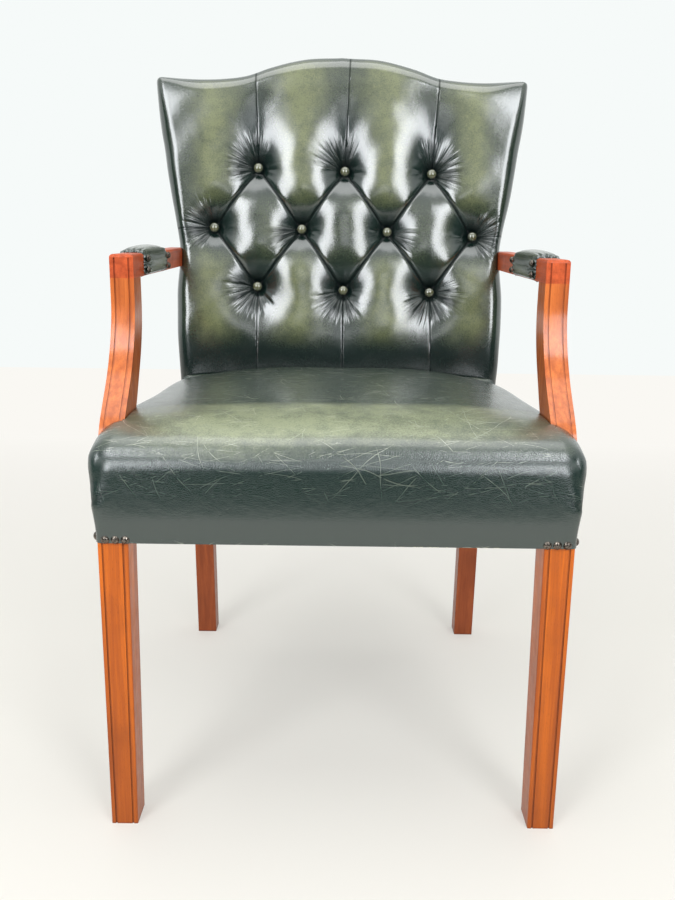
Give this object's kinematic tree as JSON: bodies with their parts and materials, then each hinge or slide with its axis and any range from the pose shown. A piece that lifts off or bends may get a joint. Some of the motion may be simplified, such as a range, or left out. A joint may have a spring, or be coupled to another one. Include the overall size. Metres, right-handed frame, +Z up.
{
  "type": "button-back leather armchair",
  "caption": "Open-arm chair with a deep-buttoned serpentine-topped leather back, stuffed leather seat, padded arms and square wooden legs.",
  "frame": {"origin": "on the floor under the middle of the chair's bounding box", "axes": "+Z up, the front faces -Y, X runs across; left is -X, as seen by someone who faces the chair"},
  "size_m": [0.5798, 0.6308, 0.9514],
  "materials": {
    "show_wood": "stained beech with a satin french polish",
    "frame_wood": "raw beech, planed",
    "green_leather": "antiqued hide, soft sheen",
    "stuffing": "hair and cotton wadding",
    "webbing": "woven jute strap",
    "hessian": "plain woven jute",
    "bottom_cloth": "black plain-woven cotton",
    "tie_cord": "twisted waxed twine",
    "nail_brass": "antiqued domed heads",
    "screw_steel": "plain steel"
  },
  "bodies": {
    "root": {"arm_dowels": "frame_wood", "arm_pad_cover_left": "green_leather", "arm_pad_cover_right": "green_leather", "arm_pad_left": "stuffing", "arm_pad_nails": "nail_brass", "arm_pad_right": "stuffing", "arm_rail_left": "show_wood", "arm_rail_right": "show_wood", "arm_rail_screws": "screw_steel", "arm_support_left": "show_wood", "arm_support_right": "show_wood", "arm_support_screws": "screw_steel", "back_buttons": "green_leather", "back_cover": "green_leather", "back_hessian": "hessian", "back_pad": "stuffing", "back_webbing": "webbing", "bottom_cloth": "bottom_cloth", "button_ties": "tie_cord", "corner_block_front_left": "frame_wood", "corner_block_front_right": "frame_wood", "corner_block_rear_left": "frame_wood", "corner_block_rear_right": "frame_wood", "corner_block_screws": "screw_steel", "crest_dowels": "frame_wood", "crest_rail": "frame_wood", "front_leg_left": "show_wood", "front_leg_right": "show_wood", "front_seat_rail": "frame_wood", "lower_back_rail": "frame_wood", "outside_back": "green_leather", "rear_post_left": "show_wood", "rear_post_right": "show_wood", "rear_seat_rail": "frame_wood", "seat_cover": "green_leather", "seat_hessian": "hessian", "seat_nails": "nail_brass", "seat_pad": "stuffing", "seat_rail_dowels": "frame_wood", "seat_webbing": "webbing", "side_seat_rail_left": "frame_wood", "side_seat_rail_right": "frame_wood"}
  },
  "joints": []
}
